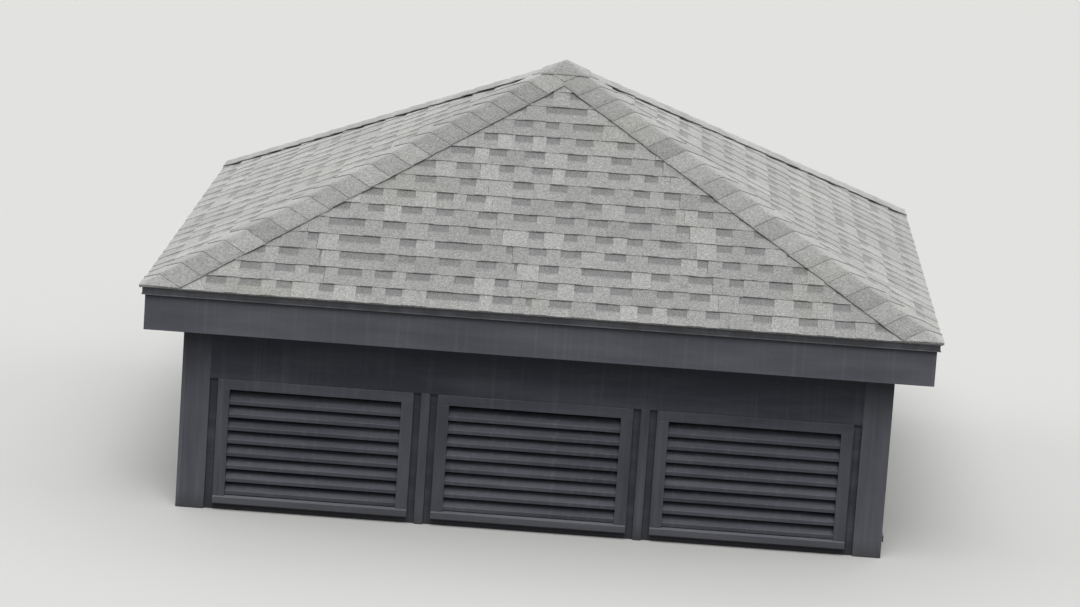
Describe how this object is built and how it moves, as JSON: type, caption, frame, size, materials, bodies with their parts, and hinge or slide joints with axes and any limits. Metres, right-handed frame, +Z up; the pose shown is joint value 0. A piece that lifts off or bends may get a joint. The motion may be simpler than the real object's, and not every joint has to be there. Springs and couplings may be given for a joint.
{
  "type": "louvred roof cupola",
  "caption": "Square ventilating roof cupola with louvre vents in every wall, boxed eaves and a shingled pyramid roof with hip caps.",
  "frame": {"origin": "centre of the base, at the level of the bottom of the walls", "axes": "+Z up, -Y towards the front as the picture shows it, +X to the right of the front"},
  "size_m": [4.06, 4.06, 2.2113],
  "materials": {
    "shingles": "laminated asphalt shingles with grey mineral granules",
    "cap_shingles": "asphalt cap shingles with grey mineral granules",
    "trim_paint": "boards painted satin slate grey",
    "wall_paint": "panel painted satin slate grey",
    "vent_paint": "louvre vents painted satin slate grey",
    "edge_metal": "folded metal strip in baked dark grey enamel",
    "plywood": "bare softwood plywood",
    "timber": "bare sawn softwood"
  },
  "bodies": {
    "root": {"front_wall": "wall_paint", "right_wall": "wall_paint", "back_wall": "wall_paint", "left_wall": "wall_paint", "front_frieze": "trim_paint", "right_frieze": "trim_paint", "back_frieze": "trim_paint", "left_frieze": "trim_paint", "front_right_corner_boards": "trim_paint", "back_right_corner_boards": "trim_paint", "back_left_corner_boards": "trim_paint", "front_left_corner_boards": "trim_paint", "vent_battens": "trim_paint", "front_left_vent": "vent_paint", "front_middle_vent": "vent_paint", "front_right_vent": "vent_paint", "right_left_vent": "vent_paint", "right_middle_vent": "vent_paint", "right_right_vent": "vent_paint", "back_left_vent": "vent_paint", "back_middle_vent": "vent_paint", "back_right_vent": "vent_paint", "left_left_vent": "vent_paint", "left_middle_vent": "vent_paint", "left_right_vent": "vent_paint", "front_fascia": "trim_paint", "right_fascia": "trim_paint", "back_fascia": "trim_paint", "left_fascia": "trim_paint", "soffits": "trim_paint", "drip_edges": "edge_metal", "front_slope": "shingles", "right_slope": "shingles", "back_slope": "shingles", "left_slope": "shingles", "hip_caps": "cap_shingles", "roof_deck": "plywood", "peak_block": "timber", "hip_rafters": "timber", "rafters": "timber", "top_plates": "timber", "wall_studs": "timber", "vent_headers": "timber", "sill_plates": "timber"}
  },
  "joints": []
}
